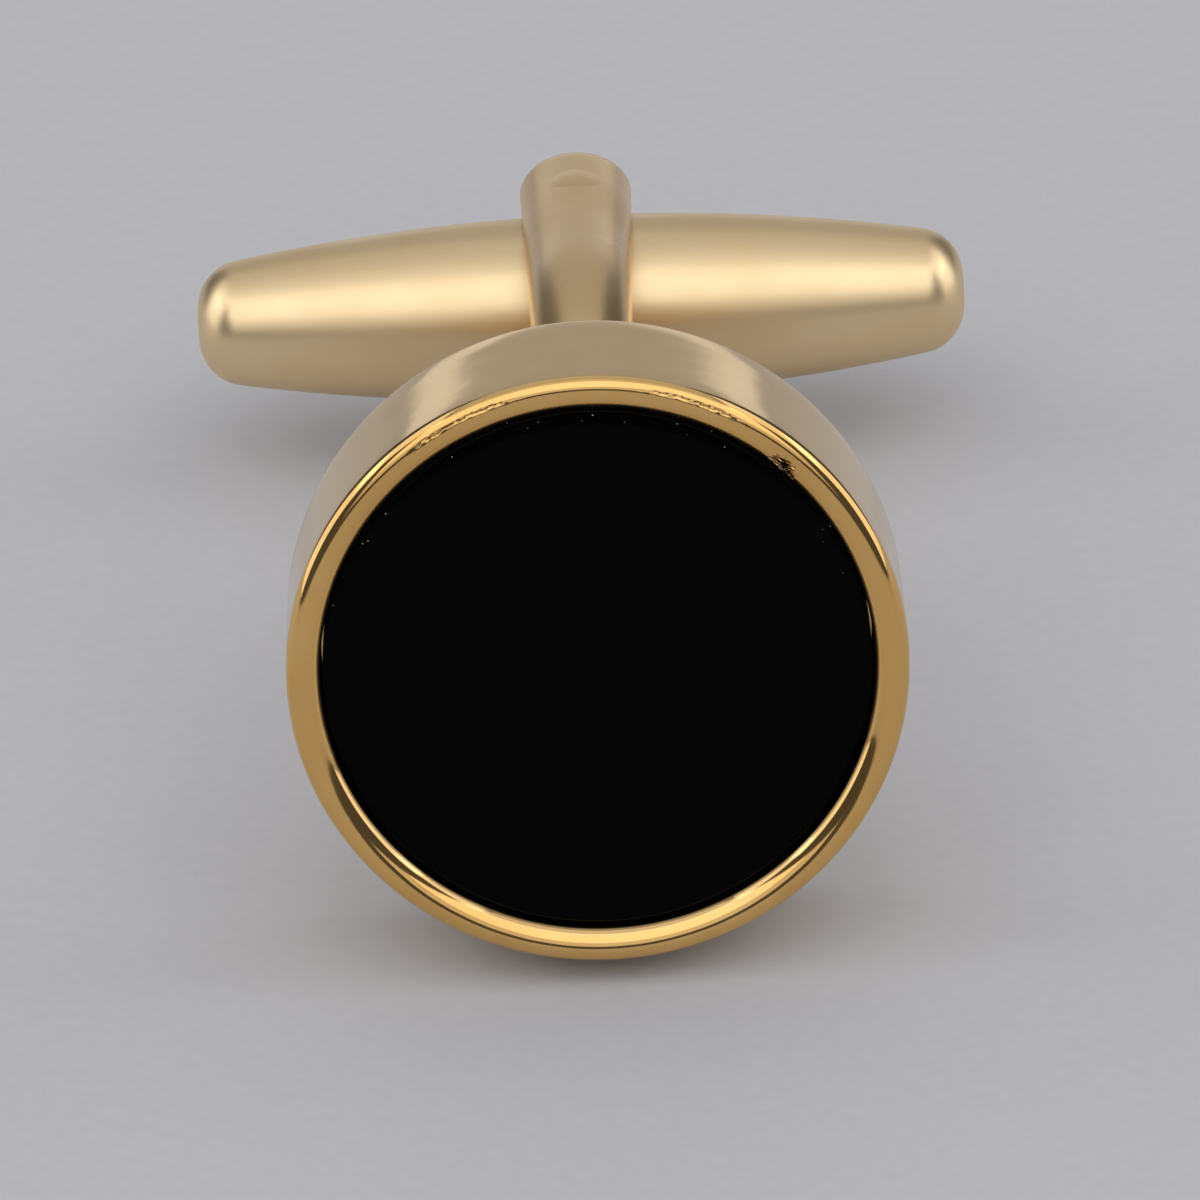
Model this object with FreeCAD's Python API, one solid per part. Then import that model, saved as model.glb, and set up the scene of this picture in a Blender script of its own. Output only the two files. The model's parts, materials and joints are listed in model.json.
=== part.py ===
import FreeCAD, Part
import math
import os

# Round onyx cufflink with a bullet back, in millimetres.
# It is modelled along its post: the face looks along -Y, the back of the head is the plane y = 0,
# the post runs along +Y, the toggle lies along X and its hinge pin along Z.
# Every piece is then laid down together, as the link rests on a table with +Z up.

# Head: a turned cup, its back plate and the cemented stone
head_diameter = 13.6
head_depth = 4.2
lip_width = 0.75
lip_outer_round = 0.3
lip_inner_share = 1.11
back_round = 0.3
stone_thickness = 2.2
stone_bevel = 0.15
stone_recess = 0.38
stone_clearance = 0.05
ledge_width = 0.8
cement_thickness = 0.1
back_wall = 0.9
back_plate_thickness = 0.9

# Post: a flanged foot, a stem and a fork of two arms
flange_diameter = 5.0
flange_thickness = 0.35
foot_diameter = 3.6
foot_height = 0.5
foot_round = 0.25
stem_width = 2.1
stem_height = 2.2
stem_length = 5.6
flare_radius = 40.0
fork_head_width = 2.7
fork_height = 6.5
fork_shoulder_length = 10.5
arm_thickness = 0.9
arm_round = 1.0
arm_nose_length = 3.1
jaw_flat_length = 1.8
jaw_radius = 28.0
jaw_end_share = 0.6

# Toggle: a barrel that turns on the pin between the arms
pin_distance = 21.2
toggle_length = 18.4
toggle_diameter = 4.4
toggle_end_diameter = 2.65
toggle_end_round = 1.15
spot_face_diameter = 2.5
crotch_clearance = 0.35

# Hinge pin and friction washers
pin_diameter = 1.3
pin_clearance = 0.03
washer_diameter = 2.3
washer_thickness = 0.12
washer_height = 0.32
washer_bore_clearance = 0.05
washer_clearance = 0.03

# Overrun of every cutting tool past the surface it opens
cut_overrun = 1.0

# Points closer than this count as the same place
same_place = 1e-3

# Sizes that follow from those above
head_radius = head_diameter / 2
bore_radius = head_radius - lip_width
lip_inner_round = (lip_width - lip_outer_round) * lip_inner_share
stone_radius = bore_radius - stone_clearance
plate_radius = head_radius - back_wall
ledge_radius = bore_radius - ledge_width
stone_face = stone_recess - head_depth
stone_back = stone_face + stone_thickness
ledge_face = stone_back + cement_thickness
fork_end = pin_distance + arm_nose_length
jaw_height = fork_height - 2 * arm_thickness
spot_face_height = jaw_height / 2 - washer_height - washer_clearance

across = FreeCAD.Vector(1, 0, 0)
along = FreeCAD.Vector(0, 1, 0)
upright = FreeCAD.Vector(0, 0, 1)
centre = FreeCAD.Vector(0, 0, 0)


def flat(x, y):
    return FreeCAD.Vector(x, y, 0)


def side(y, z):
    return FreeCAD.Vector(0, y, z)


def line(start, end):
    return Part.LineSegment(start, end).toShape()


def closed(corners):
    # straight edges from corner to corner and back to the first
    return [line(a, b) for a, b in zip(corners, corners[1:] + corners[:1])]


def arc(start, through, end):
    return Part.Arc(start, through, end).toShape()


def face_of(edges):
    return Part.Face(Part.Wire(edges))


def turned(edges, axis):
    return face_of(edges).revolve(centre, axis, 360)


def centred(face, way, half):
    # a face carried the same distance to both sides of its own plane
    solid = face.extrude(way * (2 * half))
    solid.translate(way * -half)
    return solid


def ring(outer_radius, inner_radius, start, end):
    # a plain turned ring about the post's axis, from start to end along it
    corners = [
        flat(inner_radius, start),
        flat(outer_radius, start),
        flat(outer_radius, end),
        flat(inner_radius, end),
    ]
    return turned(closed(corners), along)


def bend(corner_centre, radius, first_degrees, turn_degrees):
    # an arc in the plan that turns clockwise from first_degrees
    points = []
    for step_share in (0, 0.5, 1):
        turn = math.radians(first_degrees - turn_degrees * step_share)
        points.append(corner_centre + flat(radius * math.cos(turn), radius * math.sin(turn)))
    return arc(*points)


def last_point(edge):
    return edge.valueAt(edge.LastParameter)


def bezel_cup():
    # half section from the back edge up the wall, over the lip, down the bore and across the ledge
    crest = head_radius - lip_outer_round
    back_edge = bend(flat(head_radius - back_round, -back_round), back_round, 90, 90)
    wall = line(flat(head_radius, -back_round), flat(head_radius, lip_outer_round - head_depth))
    # the lip rolls over from the wall to its crest, then falls to the stone in a wider curve
    outer_roll = bend(flat(crest, lip_outer_round - head_depth), lip_outer_round, 0, 90)
    fall_degrees = math.degrees(math.asin(1 / lip_inner_share))
    inner_roll = bend(flat(crest, lip_inner_round - head_depth), lip_inner_round, -90, fall_degrees)
    inside = [
        last_point(inner_roll),
        flat(bore_radius, ledge_face),
        flat(ledge_radius, ledge_face),
        flat(ledge_radius, -back_plate_thickness),
        flat(plate_radius, -back_plate_thickness),
        flat(plate_radius, 0),
        flat(head_radius - back_round, 0),
    ]
    edges = [back_edge, wall, outer_roll, inner_roll]
    edges += [line(a, b) for a, b in zip(inside, inside[1:])]
    return turned(edges, along)


def back_plate():
    return ring(plate_radius, foot_diameter / 2, -back_plate_thickness, 0)


def onyx_disc():
    bevel_radius = stone_radius - stone_bevel
    corners = [
        flat(0, stone_face),
        flat(bevel_radius, stone_face),
        flat(stone_radius, stone_face + stone_bevel),
        flat(stone_radius, stone_back),
        flat(0, stone_back),
    ]
    return turned(closed(corners), along)


def stone_cement():
    return ring(stone_radius, ledge_radius, stone_back, ledge_face)


def post_plan():
    # the post from above: a strip whose sides flare gently into a round nose
    half = stem_width / 2
    nose = fork_head_width / 2
    nose_y = fork_end - nose
    reach = math.hypot(half + flare_radius, nose_y - stem_length)
    lean = math.asin((nose + flare_radius) / reach) - math.atan2(half + flare_radius, nose_y - stem_length)

    def on_flare(turn):
        return half + flare_radius * (1 - math.cos(turn)), stem_length + flare_radius * math.sin(turn)

    flare_mid = on_flare(lean / 2)
    flare_end = on_flare(lean)
    nose_start = (nose * math.cos(lean), nose_y - nose * math.sin(lean))
    right = [
        line(flat(half, 0), flat(half, stem_length)),
        arc(flat(half, stem_length), flat(*flare_mid), flat(*flare_end)),
        line(flat(*flare_end), flat(*nose_start)),
    ]
    left = [edge.mirror(centre, across) for edge in right]
    tip = arc(flat(*nose_start), flat(0, fork_end), flat(-nose_start[0], nose_start[1]))
    foot = line(flat(-half, 0), flat(half, 0))
    return face_of(Part.__sortEdges__(right + left + [tip, foot]))


def shoulder_edges():
    # the upper outline from the side: along the stem, up an S of two equal arcs, then along the arm
    low = stem_height / 2
    high = fork_height / 2
    run = fork_shoulder_length
    rise = high - low
    radius = (run ** 2 + rise ** 2) / (4 * rise)
    half_turn = math.atan2(rise, run)
    step = radius * math.sin(half_turn)
    bulge = radius * (1 - math.cos(half_turn))
    start = side(stem_length, low)
    middle = side(stem_length + run / 2, low + rise / 2)
    end = side(stem_length + run, high)
    return [
        line(side(0, low), start),
        arc(start, start + side(step, bulge), middle),
        arc(middle, end - side(step, bulge), end),
        line(end, side(fork_end + cut_overrun, high)),
    ]


def wishbone_face():
    # the whole post from the side, a little longer than the strip that trims it
    upper = shoulder_edges()
    lower = [edge.mirror(centre, upright) for edge in upper]
    tip = last_point(upper[-1])
    ends = [
        line(side(0, -stem_height / 2), side(0, stem_height / 2)),
        line(side(tip.y, -tip.z), tip),
    ]
    return face_of(Part.__sortEdges__(upper + lower + ends))


def jaw_face():
    # the space between the arms from the side: flat cheeks at the pin, then a taper that follows the barrel
    half = jaw_height / 2
    crotch = pin_distance - toggle_length / 2 - crotch_clearance
    flat_end = pin_distance - jaw_flat_length
    taper_end = crotch + half * jaw_end_share
    drop = jaw_radius - math.sqrt(jaw_radius ** 2 - (flat_end - taper_end) ** 2)
    halfway = (flat_end + taper_end) / 2
    halfway_drop = jaw_radius - math.sqrt(jaw_radius ** 2 - (flat_end - halfway) ** 2)
    mouth = fork_end + cut_overrun
    upper = [
        line(side(mouth, half), side(flat_end, half)),
        arc(side(flat_end, half), side(halfway, half - halfway_drop), side(taper_end, half - drop)),
    ]
    lower = [edge.mirror(centre, upright) for edge in upper]
    end = arc(side(taper_end, half - drop), side(crotch, 0), side(taper_end, drop - half))
    opening = line(side(mouth, -half), side(mouth, half))
    return face_of(Part.__sortEdges__(upper + lower + [end, opening]))


def outer_rim(edge):
    # true for the edges along the outside of the arms, not for those across them or up their sides
    middle = edge.valueAt((edge.FirstParameter + edge.LastParameter) / 2)
    beside = abs(middle.x) > same_place or abs(middle.y - fork_end) < same_place
    return beside and middle.y > same_place and abs(middle.z) > same_place


def post_foot():
    # the flange lies under the back plate and the foot stands through it
    foot = foot_diameter / 2
    flange = flange_diameter / 2
    flange_back = -back_plate_thickness - flange_thickness
    corner = flat(foot - foot_round, foot_height - foot_round)
    edges = [
        line(flat(0, flange_back), flat(flange, flange_back)),
        line(flat(flange, flange_back), flat(flange, -back_plate_thickness)),
        line(flat(flange, -back_plate_thickness), flat(foot, -back_plate_thickness)),
        line(flat(foot, -back_plate_thickness), flat(foot, foot_height - foot_round)),
        bend(corner, foot_round, 90, 90),
        line(flat(foot - foot_round, foot_height), flat(0, foot_height)),
        line(flat(0, foot_height), flat(0, flange_back)),
    ]
    return turned(Part.__sortEdges__(edges), along)


def post_blank():
    # the wishbone seen from the side, trimmed to the strip seen from above and rounded along its rims
    wide = fork_head_width / 2 + cut_overrun
    tall = fork_height / 2 + cut_overrun
    trimmed = centred(wishbone_face(), across, wide).common(centred(post_plan(), upright, tall))
    body = trimmed.Solids[0]
    return body.makeFillet(arm_round, [edge for edge in body.Edges if outer_rim(edge)])


def pin_stock():
    # the rod that the pin is cut from, longer than the fork is high
    tall = fork_height / 2 + cut_overrun
    return Part.makeCylinder(pin_diameter / 2, 2 * tall, side(pin_distance, -tall), upright)


def forked_post():
    # the blank, slotted for the toggle, drilled for the pin and joined to its foot
    jaw = centred(jaw_face(), across, fork_head_width / 2 + cut_overrun)
    return post_blank().cut(jaw).cut(pin_stock()).fuse(post_foot()).removeSplitter()


def toggle_bar():
    # a barrel turned about X, spot-faced above and below, bored for the pin
    half = toggle_length / 2
    middle = toggle_diameter / 2
    end = toggle_end_diameter / 2
    edges = [
        line(flat(-half, 0), flat(-half, end)),
        arc(flat(-half, end), flat(0, middle), flat(half, end)),
        line(flat(half, end), flat(half, 0)),
        line(flat(half, 0), flat(-half, 0)),
    ]
    bar = turned(edges, across)
    rims = [edge for edge in bar.Edges if edge.Closed and abs(edge.CenterOfMass.x) > same_place]
    bar = bar.makeFillet(toggle_end_round, rims)
    for way in (upright, upright * -1):
        bar = bar.cut(Part.makeCylinder(spot_face_diameter / 2, middle, way * spot_face_height, way))
    hole_radius = pin_diameter / 2 + pin_clearance
    bar = bar.cut(Part.makeCylinder(hole_radius, 2 * toggle_diameter, upright * -toggle_diameter, upright))
    bar.translate(along * pin_distance)
    return bar


def hinge_pin():
    # a plain rivet, its two ends dressed flush with the round backs of the arms
    return pin_stock().common(post_blank()).Solids[0]


def friction_washer(way):
    # a dished spring washer: its outer rim bears on the arm, its inner rim on the toggle
    outer = across * (washer_diameter / 2)
    inner = across * (pin_diameter / 2 + washer_bore_clearance)
    cheek = upright * (way * jaw_height / 2)
    depth = upright * (way * washer_height)
    thickness = upright * (way * washer_thickness)
    corners = [
        outer + cheek,
        outer + cheek - thickness,
        inner + cheek - depth,
        inner + cheek - depth + thickness,
    ]
    washer = turned(closed(corners), upright)
    washer.translate(along * pin_distance)
    return washer


def resting_tilt():
    # the table touches the rounded back edge of the head and the rounded tip of the lower arm
    run = fork_end - arm_round + back_round
    rise = (head_radius - back_round) - (fork_height / 2 - arm_round)
    return math.atan2(rise, run) - math.asin((arm_round - back_round) / math.hypot(run, rise))


def laid_down(pieces):
    # tip the post down by the resting tilt, then put the middle of the footprint at the origin
    tip = FreeCAD.Placement(centre, FreeCAD.Rotation(across, -math.degrees(resting_tilt())))
    tipped = Part.makeCompound(list(pieces.values()))
    tipped.Placement = tip
    box = tipped.optimalBoundingBox(False, False)
    lift = FreeCAD.Vector(-box.Center.x, -box.Center.y, -box.ZMin)
    rest = FreeCAD.Placement(lift, tip.Rotation)
    for piece in pieces.values():
        piece.Placement = rest.multiply(piece.Placement)
    return rest


pieces = {
    "bezel_cup": bezel_cup(),
    "back_plate": back_plate(),
    "onyx_disc": onyx_disc(),
    "stone_cement": stone_cement(),
    "forked_post": forked_post(),
    "hinge_pin": hinge_pin(),
    "upper_friction_washer": friction_washer(1),
    "lower_friction_washer": friction_washer(-1),
    "toggle_bar": toggle_bar(),
}
rest = laid_down(pieces)

os.makedirs("parts", exist_ok=True)
for name, piece in pieces.items():
    piece.exportStep("parts/" + name + ".step")
    print(name, "solids", len(piece.Solids), "valid", piece.isValid(), "volume", round(piece.Volume, 3))

print("resting tilt in degrees", math.degrees(resting_tilt()))
print("pin centre", rest.multVec(along * pin_distance), "pin axis", rest.Rotation.multVec(upright))
print("back face centre", rest.multVec(centre), "post axis", rest.Rotation.multVec(along))
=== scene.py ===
import json
import math
import bmesh
import bpy
import numpy as np
from mathutils import Matrix, Vector


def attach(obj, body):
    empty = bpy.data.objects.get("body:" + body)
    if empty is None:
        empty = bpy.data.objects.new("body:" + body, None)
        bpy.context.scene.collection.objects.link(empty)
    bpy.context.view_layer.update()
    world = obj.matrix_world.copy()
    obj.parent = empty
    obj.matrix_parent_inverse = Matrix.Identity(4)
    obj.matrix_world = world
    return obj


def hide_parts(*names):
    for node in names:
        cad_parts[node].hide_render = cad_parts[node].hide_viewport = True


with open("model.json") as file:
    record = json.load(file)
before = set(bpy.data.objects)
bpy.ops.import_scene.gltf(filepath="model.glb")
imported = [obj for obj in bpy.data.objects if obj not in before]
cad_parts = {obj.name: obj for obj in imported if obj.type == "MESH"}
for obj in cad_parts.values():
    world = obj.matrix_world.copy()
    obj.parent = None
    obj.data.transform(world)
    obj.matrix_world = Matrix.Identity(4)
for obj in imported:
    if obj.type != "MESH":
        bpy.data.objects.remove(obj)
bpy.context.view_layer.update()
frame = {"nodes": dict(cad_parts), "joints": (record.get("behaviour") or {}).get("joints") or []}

nodes = frame["nodes"]
print("frame loaded:", sorted(nodes))

# the link's own axes come from its hinge: x across, y along the post, z up the pin,
# in mm from the middle of the drum's back
mmPerMetre = 1000
hinge = frame["joints"][0]
pinAt = 21.2
pinUp = Vector(hinge["axis"]).normalized()
postDir = Vector((0, pinUp.z, -pinUp.y))
backCentre = Vector(hinge["pos_m"]) - postDir * pinAt / mmPerMetre
restTilt = math.atan2(pinUp.y, pinUp.z)
linkAxes = np.array([(1, 0, 0), postDir, pinUp])

weldGap = 1e-8  # metres, wide enough for rounding and no more
creaseAngle = 32  # degrees, a sharper edge than this stays crisp


def straight(start, end, count):
    # evenly spaced points from start to just before end
    share = np.linspace(0, 1, count, endpoint=False)[:, None]
    return np.array(start) + (np.array(end) - np.array(start)) * share


def bow(centre, radius, first, last, count):
    # points on a circle between two angles in degrees, both ends kept
    turn = np.radians(np.linspace(first, last, count))
    return np.array(centre) + radius * np.stack([np.cos(turn), np.sin(turn)], -1)


def turnRound(profile, axis, count):
    # lathe: a profile of (radius, place along the axis) goes once round its axis,
    # radius times cosine and sine of the turn are the other two coordinates
    turn = np.linspace(0, 2 * np.pi, count, endpoint=False)[None, :]
    side = profile[:, :1] * np.cos(turn)
    rise = profile[:, :1] * np.sin(turn)
    along = profile[:, 1:] + 0 * turn
    ways = {"post": (side, along, rise), "pin": (side, rise + pinAt, along),
            "bar": (along, side + pinAt, rise)}
    return np.stack(ways[axis], -1)


def gridSkin(grid, ring):
    # corner numbers of the quads between neighbours of a grid: each row closes on itself,
    # and in a ring the last row also joins the first
    number = np.arange(grid.shape[0] * grid.shape[1]).reshape(grid.shape[:2])
    if ring:
        number = np.vstack([number, number[:1]])
    number = np.hstack([number, number[:, :1]])
    corners = [number[:-1, :-1], number[1:, :-1], number[1:, 1:], number[:-1, 1:]]
    return np.stack(corners, -1).reshape(-1, 4)


def weld(mesh):
    # merge points that coincide, at poles, seams and cuts, and turn the faces outwards
    work = bmesh.new()
    work.from_mesh(mesh)
    bmesh.ops.remove_doubles(work, verts=work.verts, dist=weldGap)
    bmesh.ops.recalc_face_normals(work, faces=work.faces)
    work.to_mesh(mesh)
    work.free()


def makeMesh(name, grids, ring=False):
    # one or more grids of points in mm become one welded mesh, in metres, where the link lies
    points = []
    quads = []
    shift = 0
    for grid in grids:
        points.append(grid.reshape(-1, 3))
        quads.append(gridSkin(grid, ring) + shift)
        shift += len(points[-1])
    points = np.concatenate(points) / mmPerMetre @ linkAxes + np.array(backCentre)
    quads = np.concatenate(quads)
    mesh = bpy.data.meshes.new(name)
    mesh.vertices.add(len(points))
    mesh.vertices.foreach_set("co", points.ravel())
    mesh.loops.add(quads.size)
    mesh.loops.foreach_set("vertex_index", quads.ravel())
    mesh.polygons.add(len(quads))
    mesh.polygons.foreach_set("loop_start", np.arange(len(quads)) * 4)
    mesh.update()
    weld(mesh)
    return mesh


def addPiece(name, mesh, material, body, node):
    # smooth faces with crisp creases, on the body that carries the piece, in place of its solid
    mesh.shade_smooth()
    mesh.set_sharp_from_angle(angle=math.radians(creaseAngle))
    mesh.materials.clear()
    mesh.materials.append(material)
    piece = bpy.data.objects.new(name, mesh)
    bpy.context.scene.collection.objects.link(piece)
    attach(piece, body)
    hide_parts(node)
    print("piece", name, len(mesh.vertices), "points")


def hexColor(text):
    # sRGB hex to the linear values that the shaders use
    srgb = np.array([int(text[i:i + 2], 16) for i in (1, 3, 5)]) / 255
    linear = np.where(srgb <= 0.04045, srgb / 12.92, ((srgb + 0.055) / 1.055) ** 2.4)
    return (*linear, 1)


def perMm(size):
    # texture scale, in metres, for a feature of this many millimetres
    return mmPerMetre / size


def addNode(tree, kind, inputs=None, **settings):
    node = tree.nodes.new(kind)
    for name, value in settings.items():
        setattr(node, name, value)
    for name, value in (inputs or {}).items():
        if isinstance(value, bpy.types.NodeSocket):
            tree.links.new(value, node.inputs[name])
        else:
            node.inputs[name].default_value = value
    return node


def newMaterial(name, **constants):
    material = bpy.data.materials.new(name)
    material.use_nodes = True
    tree = material.node_tree
    tree.nodes.clear()
    shader = addNode(tree, "ShaderNodeBsdfPrincipled")
    for socket, value in constants.items():
        shader.inputs[socket.replace("_", " ")].default_value = value
    addNode(tree, "ShaderNodeOutputMaterial", {"Surface": shader.outputs["BSDF"]})
    return material, tree, shader


def linkPlace(tree, stretch=(1, 1, 1)):
    # Object coordinates on the link's own axes, each axis stretched as the pattern needs
    place = addNode(tree, "ShaderNodeTexCoord").outputs["Object"]
    start = Matrix.Rotation(restTilt, 3, "X") @ backCentre
    own = addNode(tree, "ShaderNodeMapping", {"Vector": place, "Location": -start,
                                              "Rotation": (restTilt, 0, 0)})
    scaled = addNode(tree, "ShaderNodeMapping", {"Vector": own.outputs["Vector"], "Scale": stretch})
    return scaled.outputs["Vector"]


# polished gold plate: turned brass, buffed on a wheel and plated, so a mirror with soft haze,
# a slight orange peel, fine buffing lines round the drum and a few pinholes;
# the lip is burnished once more, which leaves it evenly clear, and its deeper colour is painted reflection,
# gold mirrored in gold and in dim surroundings;
# lines and pinholes are drawn coarser than the real ones, so that they show;
# lipFrom, lipTo and the depths of the painted shade in the nicks are in mm too
polishedLook = dict(light="#EFD09A", deep="#DEBB82", hazeMm=2.6, hazeSpan=(0.3, 0.7), rough=(0.08, 0.14),
                    lipReflectLight="#F0C680", lipReflectDeep="#D9A85F", lipFrom=-3.95, lipTo=-4.1, lipRough=0.09,
                    nickShade="#21150A", nickShadeDepth=(0.012, 0.05), peelMm=1.1,
                    buffMm=0.09, buffStretch=(0.04, 1, 0.04), buffShare=0.03,
                    pinholeMm=1.3, pinholeEdge=(0.02, 0.05), pinholeDepth=-0.1, relief=0.025, reliefMm=0.25)


def polishedGold(look):
    material, tree, shader = newMaterial("gold_plate_polished", Metallic=1)
    place = linkPlace(tree)
    haze = addNode(tree, "ShaderNodeTexNoise", {"Vector": place, "Scale": perMm(look["hazeMm"]), "Detail": 3})
    wall = addNode(tree, "ShaderNodeMix", {"Factor": haze.outputs["Fac"], "A": hexColor(look["light"]),
                                           "B": hexColor(look["deep"])}, data_type="RGBA")
    # painted reflection: the lip's deeper gold stands for gold mirrored in gold and in dim surroundings
    lipReflection = addNode(tree, "ShaderNodeMix", {"Factor": haze.outputs["Fac"], "A": hexColor(look["lipReflectLight"]),
                                          "B": hexColor(look["lipReflectDeep"])}, data_type="RGBA")
    along = addNode(tree, "ShaderNodeSeparateXYZ", {"Vector": place})
    onLip = addNode(tree, "ShaderNodeMapRange", {"Value": along.outputs["Y"],
                                                 "From Min": look["lipFrom"] / mmPerMetre,
                                                 "From Max": look["lipTo"] / mmPerMetre})
    tint = addNode(tree, "ShaderNodeMix", {"Factor": onLip.outputs["Result"], "A": wall.outputs["Result"],
                                           "B": lipReflection.outputs["Result"]}, data_type="RGBA")
    # painted shade: a dark brown laid into the torn nicks, stronger the deeper each point was pushed in
    nick = addNode(tree, "ShaderNodeAttribute", attribute_name="nick")
    nickShade = addNode(tree, "ShaderNodeMapRange", {"Value": nick.outputs["Fac"],
                                                 "From Min": look["nickShadeDepth"][0],
                                                 "From Max": look["nickShadeDepth"][1]})
    tint = addNode(tree, "ShaderNodeMix", {"Factor": nickShade.outputs["Result"], "A": tint.outputs["Result"],
                                           "B": hexColor(look["nickShade"])}, data_type="RGBA")
    rough = addNode(tree, "ShaderNodeMapRange", {"Value": haze.outputs["Fac"],
                                                 "From Min": look["hazeSpan"][0],
                                                 "From Max": look["hazeSpan"][1],
                                                 "To Min": look["rough"][0], "To Max": look["rough"][1]})
    rough = addNode(tree, "ShaderNodeMix", {"Factor": onLip.outputs["Result"], "A": rough.outputs["Result"],
                                            "B": look["lipRough"]}, data_type="FLOAT")
    peel = addNode(tree, "ShaderNodeTexNoise", {"Vector": place, "Scale": perMm(look["peelMm"]), "Detail": 1})
    buff = addNode(tree, "ShaderNodeTexNoise", {"Vector": linkPlace(tree, look["buffStretch"]),
                                                "Scale": perMm(look["buffMm"]), "Detail": 2})
    hole = addNode(tree, "ShaderNodeTexVoronoi", {"Vector": place, "Scale": perMm(look["pinholeMm"])})
    pit = addNode(tree, "ShaderNodeMapRange", {"Value": hole.outputs["Distance"],
                                               "From Min": look["pinholeEdge"][0],
                                               "From Max": look["pinholeEdge"][1],
                                               "To Min": look["pinholeDepth"], "To Max": 0})
    height = addNode(tree, "ShaderNodeMath", {0: buff.outputs["Fac"], 1: look["buffShare"],
                                              2: peel.outputs["Fac"]}, operation="MULTIPLY_ADD")
    height = addNode(tree, "ShaderNodeMath", {0: height.outputs["Value"], 1: pit.outputs["Result"]},
                     operation="ADD")
    bump = addNode(tree, "ShaderNodeBump", {"Height": height.outputs["Value"], "Strength": look["relief"],
                                            "Distance": look["reliefMm"] / mmPerMetre})
    tree.links.new(tint.outputs["Result"], shader.inputs["Base Color"])
    tree.links.new(rough.outputs["Result"], shader.inputs["Roughness"])
    tree.links.new(bump.outputs["Normal"], shader.inputs["Normal"])
    return material


# satin gold plate: brass tumbled in fine media and plated, so highlights spread softly over a fine grain,
# drawn coarser than the real one, so that it shows; the bar also keeps faint rings from the lathe
castLook = dict(name="gold_plate_satin", light="#F3D4A2", deep="#E4C189", cloudMm=2.2, cloudSpan=(0.3, 0.7),
                rough=(0.26, 0.34), grainMm=0.2, ringMm=0.5, ringStretch=(1, 0.03, 0.03), ringShare=0.2,
                relief=0.04, reliefMm=0.02)
# painted highlight: the bar's gold is paler than the post's, to stand for its brighter, paler highlights
barLook = dict(castLook, name="gold_plate_satin_turned", light="#F5DCB2", deep="#E7CA9A", rough=(0.31, 0.39),
               ringMm=0.16, ringShare=0.5)


def satinGold(look):
    material, tree, shader = newMaterial(look["name"], Metallic=1)
    place = linkPlace(tree)
    cloud = addNode(tree, "ShaderNodeTexNoise", {"Vector": place, "Scale": perMm(look["cloudMm"]),
                                                 "Detail": 3})
    tint = addNode(tree, "ShaderNodeMix", {"Factor": cloud.outputs["Fac"], "A": hexColor(look["light"]),
                                           "B": hexColor(look["deep"])}, data_type="RGBA")
    rough = addNode(tree, "ShaderNodeMapRange", {"Value": cloud.outputs["Fac"],
                                                 "From Min": look["cloudSpan"][0],
                                                 "From Max": look["cloudSpan"][1],
                                                 "To Min": look["rough"][0], "To Max": look["rough"][1]})
    grain = addNode(tree, "ShaderNodeTexNoise", {"Vector": place, "Scale": perMm(look["grainMm"]),
                                                 "Detail": 2})
    rings = addNode(tree, "ShaderNodeTexNoise", {"Vector": linkPlace(tree, look["ringStretch"]),
                                                 "Scale": perMm(look["ringMm"]), "Detail": 2})
    height = addNode(tree, "ShaderNodeMath", {0: rings.outputs["Fac"], 1: look["ringShare"],
                                              2: grain.outputs["Fac"]}, operation="MULTIPLY_ADD")
    bump = addNode(tree, "ShaderNodeBump", {"Height": height.outputs["Value"], "Strength": look["relief"],
                                            "Distance": look["reliefMm"] / mmPerMetre})
    tree.links.new(tint.outputs["Result"], shader.inputs["Base Color"])
    tree.links.new(rough.outputs["Result"], shader.inputs["Roughness"])
    tree.links.new(bump.outputs["Normal"], shader.inputs["Normal"])
    return material


# black onyx: dyed chalcedony, sawn, lapped flat and polished, so a deep black with a clear gloss,
# hairlines from the lap, drawn coarse enough to show, and pale dust caught along its edge
onyxLook = dict(dark="#020202", lighter="#050505", bandMm=3.0, bandStretch=(0.3, 1, 1), rough=(0.03, 0.06),
                hairMm=0.1, hairStretch=(0.05, 1, 1), relief=0.01, reliefMm=0.01,
                dust="#C9C2B4", dustMm=0.17, speckEdge=(0.06, 0.11), emptyShare=0.45,
                dustFrom=5.65, dustTo=5.85, dustLow=1.0, dustHigh=3.5)


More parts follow.
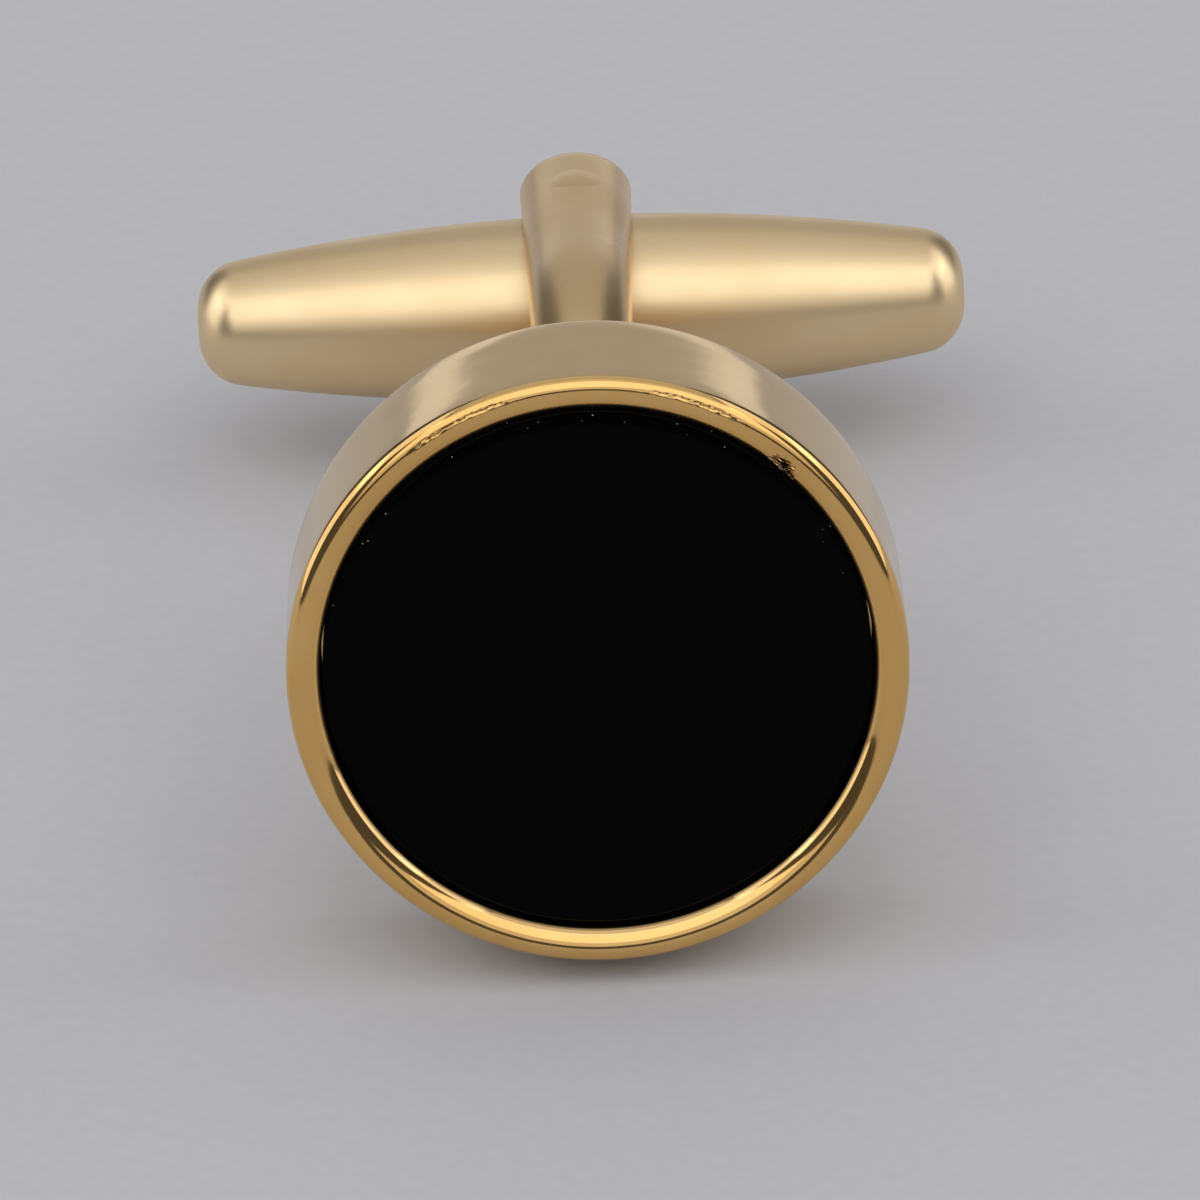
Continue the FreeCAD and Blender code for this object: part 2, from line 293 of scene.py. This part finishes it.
def polishedOnyx(look):
    material, tree, shader = newMaterial("onyx_polished", IOR=1.54, Specular_IOR_Level=0.03)
    place = linkPlace(tree)
    band = addNode(tree, "ShaderNodeTexNoise", {"Vector": linkPlace(tree, look["bandStretch"]),
                                                "Scale": perMm(look["bandMm"]), "Detail": 4})
    body = addNode(tree, "ShaderNodeMix", {"Factor": band.outputs["Fac"], "A": hexColor(look["dark"]),
                                           "B": hexColor(look["lighter"])}, data_type="RGBA")
    # dust: a share of the voronoi cells hold one speck each, and only near the upper rim of the disc
    cell = addNode(tree, "ShaderNodeTexVoronoi", {"Vector": place, "Scale": perMm(look["dustMm"])})
    speck = addNode(tree, "ShaderNodeMapRange", {"Value": cell.outputs["Distance"],
                                                 "From Min": look["speckEdge"][0],
                                                 "From Max": look["speckEdge"][1], "To Min": 1, "To Max": 0})
    pick = addNode(tree, "ShaderNodeSeparateColor", {"Color": cell.outputs["Color"]})
    chosen = addNode(tree, "ShaderNodeMath", {0: pick.outputs["Red"], 1: look["emptyShare"]},
                     operation="GREATER_THAN")
    flat = addNode(tree, "ShaderNodeVectorMath", {0: place, 1: (mmPerMetre, 0, mmPerMetre)},
                   operation="MULTIPLY")
    radius = addNode(tree, "ShaderNodeVectorMath", {0: flat.outputs["Vector"]}, operation="LENGTH")
    rim = addNode(tree, "ShaderNodeMapRange", {"Value": radius.outputs["Value"], "From Min": look["dustFrom"],
                                               "From Max": look["dustTo"]})
    height = addNode(tree, "ShaderNodeSeparateXYZ", {"Vector": flat.outputs["Vector"]})
    upper = addNode(tree, "ShaderNodeMapRange", {"Value": height.outputs["Z"], "From Min": look["dustLow"],
                                                 "From Max": look["dustHigh"]})
    share = addNode(tree, "ShaderNodeMath", {0: speck.outputs["Result"], 1: chosen.outputs["Value"]},
                    operation="MULTIPLY")
    share = addNode(tree, "ShaderNodeMath", {0: share.outputs["Value"], 1: upper.outputs["Result"]},
                    operation="MULTIPLY")
    share = addNode(tree, "ShaderNodeMath", {0: share.outputs["Value"], 1: rim.outputs["Result"]},
                    operation="MULTIPLY")
    color = addNode(tree, "ShaderNodeMix", {"Factor": share.outputs["Value"], "A": body.outputs["Result"],
                                            "B": hexColor(look["dust"])}, data_type="RGBA")
    rough = addNode(tree, "ShaderNodeMapRange", {"Value": band.outputs["Fac"], "To Min": look["rough"][0],
                                                 "To Max": look["rough"][1]})
    hair = addNode(tree, "ShaderNodeTexNoise", {"Vector": linkPlace(tree, look["hairStretch"]),
                                                "Scale": perMm(look["hairMm"]), "Detail": 1})
    bump = addNode(tree, "ShaderNodeBump", {"Height": hair.outputs["Fac"], "Strength": look["relief"],
                                            "Distance": look["reliefMm"] / mmPerMetre})
    tree.links.new(color.outputs["Result"], shader.inputs["Base Color"])
    tree.links.new(rough.outputs["Result"], shader.inputs["Roughness"])
    tree.links.new(bump.outputs["Normal"], shader.inputs["Normal"])
    return material


# epoxy cement: mixed and squeezed flat under the stone, so cloudy amber with small bubbles
cementLook = dict(clear="#B99A5A", cloudy="#8F7238", rough=0.35, cloudMm=1.2, bubbleMm=0.3,
                  relief=0.2, reliefMm=0.03)


def epoxyCement(look):
    material, tree, shader = newMaterial("epoxy_cement", Roughness=look["rough"])
    place = linkPlace(tree)
    cloud = addNode(tree, "ShaderNodeTexNoise", {"Vector": place, "Scale": perMm(look["cloudMm"]),
                                                 "Detail": 3})
    color = addNode(tree, "ShaderNodeMix", {"Factor": cloud.outputs["Fac"], "A": hexColor(look["clear"]),
                                            "B": hexColor(look["cloudy"])}, data_type="RGBA")
    bubble = addNode(tree, "ShaderNodeTexVoronoi", {"Vector": place, "Scale": perMm(look["bubbleMm"])})
    bump = addNode(tree, "ShaderNodeBump", {"Height": bubble.outputs["Distance"], "Strength": look["relief"],
                                            "Distance": look["reliefMm"] / mmPerMetre})
    tree.links.new(color.outputs["Result"], shader.inputs["Base Color"])
    tree.links.new(bump.outputs["Normal"], shader.inputs["Normal"])
    return material


# spring steel: rolled strip, stamped and dished, so a grey metal with fine rolling lines one way
steelLook = dict(bright="#C4C5C8", dull="#9C9DA1", lineMm=0.06, lineStretch=(0.03, 1, 1), rough=(0.22, 0.36),
                 relief=0.1, reliefMm=0.01)


def springSteel(look):
    material, tree, shader = newMaterial("spring_steel", Metallic=1)
    line = addNode(tree, "ShaderNodeTexNoise", {"Vector": linkPlace(tree, look["lineStretch"]),
                                                "Scale": perMm(look["lineMm"]), "Detail": 2})
    color = addNode(tree, "ShaderNodeMix", {"Factor": line.outputs["Fac"], "A": hexColor(look["bright"]),
                                            "B": hexColor(look["dull"])}, data_type="RGBA")
    rough = addNode(tree, "ShaderNodeMapRange", {"Value": line.outputs["Fac"], "To Min": look["rough"][0],
                                                 "To Max": look["rough"][1]})
    bump = addNode(tree, "ShaderNodeBump", {"Height": line.outputs["Fac"], "Strength": look["relief"],
                                            "Distance": look["reliefMm"] / mmPerMetre})
    tree.links.new(color.outputs["Result"], shader.inputs["Base Color"])
    tree.links.new(rough.outputs["Result"], shader.inputs["Roughness"])
    tree.links.new(bump.outputs["Normal"], shader.inputs["Normal"])
    return material


polished = polishedGold(polishedLook)
satinCast = satinGold(castLook)
satinBar = satinGold(barLook)
onyx = polishedOnyx(onyxLook)
steel = springSteel(steelLook)

# the hidden pieces keep their solids and only get a finish
hiddenFinishes = {"stone_cement": epoxyCement(cementLook), "upper_friction_washer": steel,
                  "lower_friction_washer": steel}
for name, finish in hiddenFinishes.items():
    nodes[name].data.materials.clear()
    nodes[name].data.materials.append(finish)
print("finishes mixed")

# drum: lengths in mm, places along the post are minus towards the face; nicks are (angle and half span
# in degrees, radius where they sit, reach, depth), and none goes behind lipBack; tear is how often a nick
# breaks up along the angle and the radius, and how far its rows slant
drum = dict(radius=6.8, depth=4.2, lipWidth=0.75, outerRound=0.3, innerShare=1.11, backRound=0.3,
            ledgeRadius=5.25, ledgeFace=-1.52, plateFace=-0.9, plateRadius=5.9,
            around=1080, backSteps=10, wallSteps=6, outerSteps=20, innerSteps=24,
            lipBack=-3.77, tear=(2.1, 75, 0.7),
            nicks=[(47.5, 2.4, 6.24, 0.14, 0.11), (45.0, 1.2, 6.12, 0.08, 0.08),
                   (65, 3.6, 6.56, 0.035, 0.045), (73, 4.0, 6.58, 0.03, 0.036),
                   (111, 5.0, 6.57, 0.03, 0.042), (121, 3.4, 6.55, 0.035, 0.045),
                   (98, 2.5, 6.3, 0.04, 0.012), (31, 1.2, 6.45, 0.05, 0.012)])


def drumProfile(size):
    # back edge, wall, then the lip: a tight roll up to the crest and a wider one down to the stone;
    # bore, ledge and rebate follow
    bore = size["radius"] - size["lipWidth"]
    crest = size["radius"] - size["outerRound"]
    innerRound = (crest - bore) * size["innerShare"]
    fall = math.degrees(math.asin(1 / size["innerShare"]))
    backAt = (size["radius"] - size["backRound"], -size["backRound"])
    backEdge = bow(backAt, size["backRound"], 90, 0, size["backSteps"])
    outerAt = (crest, size["outerRound"] - size["depth"])
    outerRoll = bow(outerAt, size["outerRound"], 0, -90, size["outerSteps"])
    innerAt = (crest, innerRound - size["depth"])
    innerRoll = bow(innerAt, innerRound, -90, -90 - fall, size["innerSteps"])
    wall = straight(backEdge[-1], outerRoll[0], size["wallSteps"])[1:]
    inside = [(bore, size["ledgeFace"]), (size["ledgeRadius"], size["ledgeFace"]),
              (size["ledgeRadius"], size["plateFace"]), (size["plateRadius"], size["plateFace"]),
              (size["plateRadius"], 0)]
    return np.concatenate([backEdge, wall, outerRoll, innerRoll[1:], inside])


def nickLip(grid, size):
    # each nick pushes the lip back by depth times a bell curve in angle and radius,
    # broken up by crossed sines; how far each point went is handed back,
    # for the painted shade laid into the nicks
    radius = np.hypot(grid[..., 0], grid[..., 2])
    angle = np.degrees(np.arctan2(grid[..., 2], grid[..., 0]))
    onLip = grid[..., 1] < size["lipBack"]
    tearAlong, tearIn, slant = size["tear"]
    sunk = 0 * radius
    for place, span, at, reach, depth in size["nicks"]:
        bell = np.exp(-((angle - place) / span) ** 2 - ((radius - at) / reach) ** 2)
        torn = 0.5 + 0.5 * np.sin(angle * tearAlong + place) * np.sin(radius * tearIn + angle * slant)
        sunk += onLip * depth * bell * torn
    grid[..., 1] += sunk
    return sunk


drumGrid = turnRound(drumProfile(drum), "post", drum["around"])
nickDepth = nickLip(drumGrid, drum)
drumMesh = makeMesh("bezel_cup_turned", [drumGrid], ring=True)
drumMesh.attributes.new("nick", "FLOAT", "POINT").data.foreach_set("value", nickDepth.ravel())
addPiece("bezel_cup_turned", drumMesh, polished, "head", "bezel_cup")

# plate: closes the drum's back round the foot of the post; mm
plate = dict(outer=5.9, hole=1.8, inside=-0.9, edgeBreak=0.06, around=240)


def plateProfile(size):
    # a flat ring, its two edges at the back broken by a fine chamfer
    cut = size["edgeBreak"]
    return np.array([(size["hole"], size["inside"]), (size["outer"], size["inside"]), (size["outer"], -cut),
                     (size["outer"] - cut, 0), (size["hole"] + cut, 0), (size["hole"], -cut)])


plateGrid = turnRound(plateProfile(plate), "post", plate["around"])
plateMesh = makeMesh("back_plate_turned", [plateGrid], ring=True)
addPiece("back_plate_turned", plateMesh, polished, "head", "back_plate")

# stone: a flat disc with a fine bevel; mm, and the roll and girdle shares are of the rolled edge
stone = dict(radius=6.0, face=-3.82, back=-1.62, bevel=0.08, edgeRound=0.02, faceRing=0.6, rollShare=0.3,
             girdleShare=0.5, around=360)


def stoneProfile(size):
    # face, a bevel with its upper edge rolled over, straight girdle, back
    edge, face, bevel, roll = size["radius"], size["face"], size["bevel"], size["edgeRound"]
    shoulder = edge - bevel
    girdle = roll * size["girdleShare"]
    return np.array([
        (0, face), (shoulder - size["faceRing"], face), (shoulder - roll, face),
        (shoulder, face + roll * size["rollShare"]), (shoulder + roll, face + roll),
        (edge - girdle, face + bevel - girdle), (edge, face + bevel),
        (edge, size["back"]), (0, size["back"])])


stoneMesh = makeMesh("onyx_disc_lapped", [turnRound(stoneProfile(stone), "post", stone["around"])])
addPiece("onyx_disc_lapped", stoneMesh, onyx, "head", "onyx_disc")

# post: foot, stem and fork; widths and heights are halves, in mm;
# rows, points, steps and around are how fine the skin is
post = dict(footRadius=1.8, footTop=0.5, footRound=0.25, flangeRadius=2.5, flangeBack=-1.25, plateFace=-0.9,
            stemStart=0.1, stemWidth=1.05, stemHeight=1.1, stemEnd=5.6, flare=40.0, noseRadius=1.35,
            end=24.3, forkHeight=3.25, shoulder=10.5, archHeight=1.0, jaw=2.35, crotch=11.65,
            jawFlat=19.4, jawBow=28.0, jawEndShare=0.6, stemRows=90, crotchRows=40, armRows=100,
            noseRows=48, archPoints=57, footSteps=10, footAround=120)


def postWidth(y, size):
    # half width from above: straight stem, a flare arc, a straight run tangent to the round nose
    noseAt = size["end"] - size["noseRadius"]
    wide = size["stemWidth"] + size["flare"]
    run = noseAt - size["stemEnd"]
    lean = math.asin((size["noseRadius"] + size["flare"]) / math.hypot(wide, run)) - math.atan2(wide, run)
    flareEnd = size["stemEnd"] + size["flare"] * math.sin(lean)
    bent = np.clip(y, size["stemEnd"], flareEnd) - size["stemEnd"]
    sides = wide - np.sqrt(size["flare"] ** 2 - bent ** 2) + np.clip(y - flareEnd, 0, None) * math.tan(lean)
    nose = np.sqrt(np.clip(size["noseRadius"] ** 2 - np.clip(y - noseAt, 0, None) ** 2, 0, None))
    return np.where(y > noseAt, nose, np.minimum(sides, size["noseRadius"]))


def postHeight(y, size):
    # half height from the side: stem, an S of two equal arcs, arm
    rise = size["forkHeight"] - size["stemHeight"]
    radius = (size["shoulder"] ** 2 + rise ** 2) / (4 * rise)
    up = np.clip(y - size["stemEnd"], 0, size["shoulder"] / 2)
    down = np.clip(size["stemEnd"] + size["shoulder"] - y, 0, size["shoulder"] / 2)
    first = size["stemHeight"] + radius - np.sqrt(radius ** 2 - up ** 2)
    second = size["forkHeight"] - radius + np.sqrt(radius ** 2 - down ** 2)
    return np.where(y < size["stemEnd"] + size["shoulder"] / 2, first, second)


def armTop(x, y, size):
    # the outside of an arm: a half ellipse across it, which turns into a quarter of an ellipsoid at the nose
    noseAt = size["end"] - size["noseRadius"]
    spread = np.hypot(x, np.clip(y - noseAt, 0, None)) / postWidth(np.minimum(y, noseAt), size)
    fall = 1 - np.sqrt(np.clip(1 - spread ** 2, 0, None))
    return postHeight(y, size) - size["archHeight"] * fall


def jawHeight(y, size):
    # half height of the space between the arms: a round crotch, a long bow that clears the bar's ends,
    # flat cheeks
    taperEnd = size["crotch"] + size["jaw"] * size["jawEndShare"]
    sink = size["jaw"] - size["jawBow"]
    back = np.clip(size["jawFlat"] - y, 0, size["jawFlat"] - taperEnd)
    bowed = sink + np.sqrt(size["jawBow"] ** 2 - back ** 2)
    endHeight = sink + math.sqrt(size["jawBow"] ** 2 - (size["jawFlat"] - taperEnd) ** 2)
    depth = taperEnd - size["crotch"]
    radius = (depth ** 2 + endHeight ** 2) / (2 * depth)
    inside = np.clip(y - size["crotch"], 0, depth)
    return np.where(y > taperEnd, bowed, np.sqrt(np.clip(radius ** 2 - (radius - inside) ** 2, 0, None)))


def postStem(size):
    # the solid part as one tube: at each station the arch above, a point on each flat side,
    # the same arch below
    y = np.linspace(size["stemStart"], size["crotch"], size["stemRows"])[:, None]
    across = np.sin(np.linspace(-np.pi / 2, np.pi / 2, size["archPoints"]))[None, :]
    x = across * postWidth(y, size)
    above = np.stack([x, y + 0 * x, armTop(x, y, size)], -1)
    flank = above[:, -1:] * (1, 1, 0)
    rows = np.concatenate([above, flank, above[:, ::-1] * (1, 1, -1), flank * (-1, 1, 1)], 1)
    pole = np.repeat(rows[:1].mean(1, keepdims=True), rows.shape[1], 1)
    return np.concatenate([pole, rows])


def postArm(size, way):
    # one arm from the crotch on: at each station the outside is the arch, the inside is flat,
    # and the arch stops where it meets the inside
    noseAt = size["end"] - size["noseRadius"]
    taper = size["jaw"] * size["jawEndShare"]
    noseBelow = np.clip(1 - (size["forkHeight"] - size["jaw"]) / size["archHeight"], 0, None)
    noseReach = size["noseRadius"] * math.sqrt(1 - noseBelow ** 2)
    y = np.concatenate([
        size["crotch"] + taper * (1 - np.cos(np.linspace(0, np.pi / 2, size["crotchRows"]))),
        np.linspace(size["crotch"] + taper, noseAt, size["armRows"])[1:],
        noseAt + noseReach * np.sin(np.linspace(0, np.pi / 2, size["noseRows"]))[1:]])[:, None]
    inner = jawHeight(y, size)
    below = np.clip(1 - (postHeight(y, size) - inner) / size["archHeight"], 0, None)
    reach = postWidth(np.minimum(y, noseAt), size) * np.sqrt(1 - below ** 2)
    half = np.sqrt(np.clip(reach ** 2 - np.clip(y - noseAt, 0, None) ** 2, 0, None))
    x = np.sin(np.linspace(-np.pi / 2, np.pi / 2, size["archPoints"]))[None, :] * half
    arch = np.maximum(armTop(x, y, size), inner)
    outside = np.stack([x, y + 0 * x, arch * way], -1)
    inside = np.stack([x, y + 0 * x, (inner + 0 * x) * way], -1)
    rows = np.concatenate([outside, inside[:, ::-1]], 1)
    pole = np.repeat(rows[-1:].mean(1, keepdims=True), rows.shape[1], 1)
    return np.concatenate([rows, pole])


def footProfile(size):
    # flange under the plate, neck through it, rounded shoulder on top
    cornerAt = (size["footRadius"] - size["footRound"], size["footTop"] - size["footRound"])
    return np.concatenate([
        [(0, size["flangeBack"]), (size["flangeRadius"], size["flangeBack"]),
         (size["flangeRadius"], size["plateFace"]), (size["footRadius"], size["plateFace"])],
        bow(cornerAt, size["footRound"], 0, 90, size["footSteps"]),
        [(0, size["footTop"])]])


footGrid = turnRound(footProfile(post), "post", post["footAround"])
postMesh = makeMesh("forked_post_cast", [postStem(post), postArm(post, 1), postArm(post, -1), footGrid])
addPiece("forked_post_cast", postMesh, satinCast, "head", "forked_post")

# rivet: a plain pin, its ends peened over and dressed almost flush with the arms; mm
rivet = dict(radius=0.65, dome=0.035, rings=40, around=96)


def rivetSkin(size):
    # rings of growing radius, lifted to the arm's own outside plus a low dome
    # that falls with the square of the radius
    radius = size["radius"] * np.sin(np.linspace(0, np.pi / 2, size["rings"]))
    half = np.stack([radius, 1 + 0 * radius], -1)
    profile = np.concatenate([half, half[::-1] * (1, -1)])
    grid = turnRound(profile, "pin", size["around"])
    dome = size["dome"] * (1 - (profile[:, :1] / size["radius"]) ** 2)
    grid[..., 2] *= armTop(grid[..., 0], grid[..., 1], post) + dome
    return grid


rivetMesh = makeMesh("hinge_pin_riveted", [rivetSkin(rivet)])
addPiece("hinge_pin_riveted", rivetMesh, satinCast, "head", "hinge_pin")

# bar: a barrel, its ends rolled over, spot faced and bored for the pin; half lengths in mm
bar = dict(half=9.2, middle=2.2, end=1.325, endRound=1.15, endSteps=22, bellySteps=120, around=160,
           spotRadius=1.25, spotHeight=2.0, boreRadius=0.68, drillOver=1, drillAround=128)


def barProfile(size):
    # one long arc for the belly, an end arc tangent to it and to the flat end
    swell = size["middle"] - size["end"]
    big = (size["half"] ** 2 + swell ** 2) / (2 * swell)
    sink = size["middle"] - big
    endAt = size["half"] - size["endRound"]
    endSide = sink + math.sqrt((big - size["endRound"]) ** 2 - endAt ** 2)
    lean = math.degrees(math.asin(endAt / (big - size["endRound"])))
    endBow = bow((endSide, endAt), size["endRound"], 90, lean, size["endSteps"])
    belly = bow((sink, 0), big, lean, -lean, size["bellySteps"])[1:-1]
    return np.concatenate([[(0, size["half"])], endBow, belly, endBow[::-1] * (1, -1), [(0, -size["half"])]])


def cutBar(mesh, size):
    # two spot facing drills and one through drill, each a plain closed cylinder on the pin's axis
    target = bpy.data.objects.new("bar_blank", mesh)
    bpy.context.scene.collection.objects.link(target)
    tall = size["middle"] + size["drillOver"]
    drills = [(size["spotRadius"], size["spotHeight"], tall),
              (size["spotRadius"], -tall, -size["spotHeight"]),
              (size["boreRadius"], -tall, tall)]
    helpers = [target]
    for radius, low, high in drills:
        profile = np.array([(0, low), (radius, low), (radius, high), (0, high)])
        drillMesh = makeMesh("drill", [turnRound(profile, "pin", size["drillAround"])])
        drill = bpy.data.objects.new("drill", drillMesh)
        bpy.context.scene.collection.objects.link(drill)
        cut = target.modifiers.new("drill", "BOOLEAN")
        cut.object = drill
        cut.operation = "DIFFERENCE"
        cut.solver = "EXACT"
        helpers.append(drill)
    ready = target.evaluated_get(bpy.context.evaluated_depsgraph_get())
    drilled = bpy.data.meshes.new_from_object(ready)
    for helper in helpers:
        bpy.data.objects.remove(helper)
    weld(drilled)
    return drilled


barBlank = makeMesh("bar_blank", [turnRound(barProfile(bar), "bar", bar["around"])])
addPiece("toggle_bar_turned", cutBar(barBlank, bar), satinBar, "toggle", "toggle_bar")

# floor: pale card, matte, with a fine tooth drawn coarse enough to show; half its width in metres
floorLook = dict(color="#C4C4C8", fleck="#BBBBBF", rough=0.7, toothMm=0.35, half=2.0)


def layFloor(look):
    mesh = bpy.data.meshes.new("table_top")
    h = look["half"]
    mesh.from_pydata([(-h, -h, 0), (h, -h, 0), (h, h, 0), (-h, h, 0)], [], [(0, 1, 2, 3)])
    floor = bpy.data.objects.new("table_top", mesh)
    bpy.context.scene.collection.objects.link(floor)
    material, tree, shader = newMaterial("matte_card", Roughness=look["rough"])
    place = addNode(tree, "ShaderNodeTexCoord").outputs["Object"]
    tooth = addNode(tree, "ShaderNodeTexNoise", {"Vector": place, "Scale": perMm(look["toothMm"]),
                                                 "Detail": 3})
    color = addNode(tree, "ShaderNodeMix", {"Factor": tooth.outputs["Fac"], "A": hexColor(look["color"]),
                                            "B": hexColor(look["fleck"])}, data_type="RGBA")
    tree.links.new(color.outputs["Result"], shader.inputs["Base Color"])
    mesh.materials.append(material)


layFloor(floorLook)
print("floor laid")

# lamps: soft panels in metres, glow is how bright each looks, where 1 shows as white;
# a wide one with a brighter core stands behind the camera, a dim cover runs overhead and down behind the link
# to a strip at the horizon, two fill in from above left and right, and two low ones light the sides
lamps = {
    "frontWide": dict(place=(0, -0.250, 0.338), aim=(0, 0, 0), size=(0.70, 0.743), glow=0.7),
    "frontCore": dict(place=(0, -0.250, 0.325), aim=(0, 0, 0), size=(0.70, 0.348), glow=0.6),
    "overheadMiddle": dict(place=(0, 0.148, 0.30), aim=(0, 0.148, 0), size=(0.40, 0.244), glow=0.5),
    "overheadLeft": dict(place=(-0.39, 0.08, 0.30), aim=(-0.39, 0.08, 0), size=(0.36, 0.38), glow=1.1),
    "overheadRight": dict(place=(0.39, 0.08, 0.30), aim=(0.39, 0.08, 0), size=(0.36, 0.38), glow=1.1),
    "backPanel": dict(place=(0, 0.384, 0.171), aim=(0, 0, 0), size=(0.345, 0.374), glow=0.33),
    "backStrip": dict(place=(0, 0.40, 0.022), aim=(0, 0, 0.006), size=(0.345, 0.044), glow=0.38),
    "leftPanel": dict(place=(-0.36, 0.02, 0.125), aim=(0, 0, 0.01), size=(0.30, 0.24), glow=1.2),
    "rightPanel": dict(place=(0.36, 0.02, 0.125), aim=(0, 0, 0.01), size=(0.30, 0.24), glow=1.2),
}
studio = dict(color="#8A8A90", strength=0.35)  # the dim grey room between the lamps


def hangLamp(name, lamp):
    # a panel of this glow gives pi times its area times the glow in watts
    data = bpy.data.lights.new(name, "AREA")
    data.shape = "RECTANGLE"
    data.size, data.size_y = lamp["size"]
    data.energy = math.pi * data.size * data.size_y * lamp["glow"]
    obj = bpy.data.objects.new(name, data)
    obj.location = lamp["place"]
    obj.rotation_euler = (Vector(lamp["aim"]) - Vector(lamp["place"])).to_track_quat("-Z", "Y").to_euler()
    bpy.context.scene.collection.objects.link(obj)


def lightRoom(look):
    world = bpy.data.worlds.new("studio")
    bpy.context.scene.world = world
    world.use_nodes = True
    room = world.node_tree.nodes["Background"]
    room.inputs["Color"].default_value = hexColor(look["color"])
    room.inputs["Strength"].default_value = look["strength"]


for name, lamp in lamps.items():
    hangLamp(name, lamp)
lightRoom(studio)
bpy.context.scene.view_settings.view_transform = "Standard"
print("lamps hung")

# camera: a long lens in the link's plane of symmetry, turned slightly clockwise;
# lengths in metres, lens and sensor in mm, angles in degrees
shot = dict(distance=0.230, lens=315.6, sensor=36, clipStart=0.01, abovePost=19.97, turn=-2.75,
            ahead=0.0030, right=0.000118, up=0.001202)


def setCamera(shot):
    rise = math.radians(shot["abovePost"]) + restTilt
    look = Vector((0, math.cos(rise), -math.sin(rise)))
    right = Vector((1, 0, 0))
    up = right.cross(look)
    aim = backCentre - postDir * shot["ahead"] + right * shot["right"] + up * shot["up"]
    turn = math.radians(shot["turn"])
    sideways = right * math.cos(turn) + up * math.sin(turn)
    upward = up * math.cos(turn) - right * math.sin(turn)
    data = bpy.data.cameras.new("photoView")
    data.lens = shot["lens"]
    data.sensor_width = shot["sensor"]
    data.clip_start = shot["clipStart"]
    camera = bpy.data.objects.new("photoView", data)
    camera.matrix_world = Matrix((sideways, upward, -look)).transposed().to_4x4()
    camera.location = aim - look * shot["distance"]
    bpy.context.scene.collection.objects.link(camera)
    bpy.context.scene.camera = camera


setCamera(shot)
print("camera set")
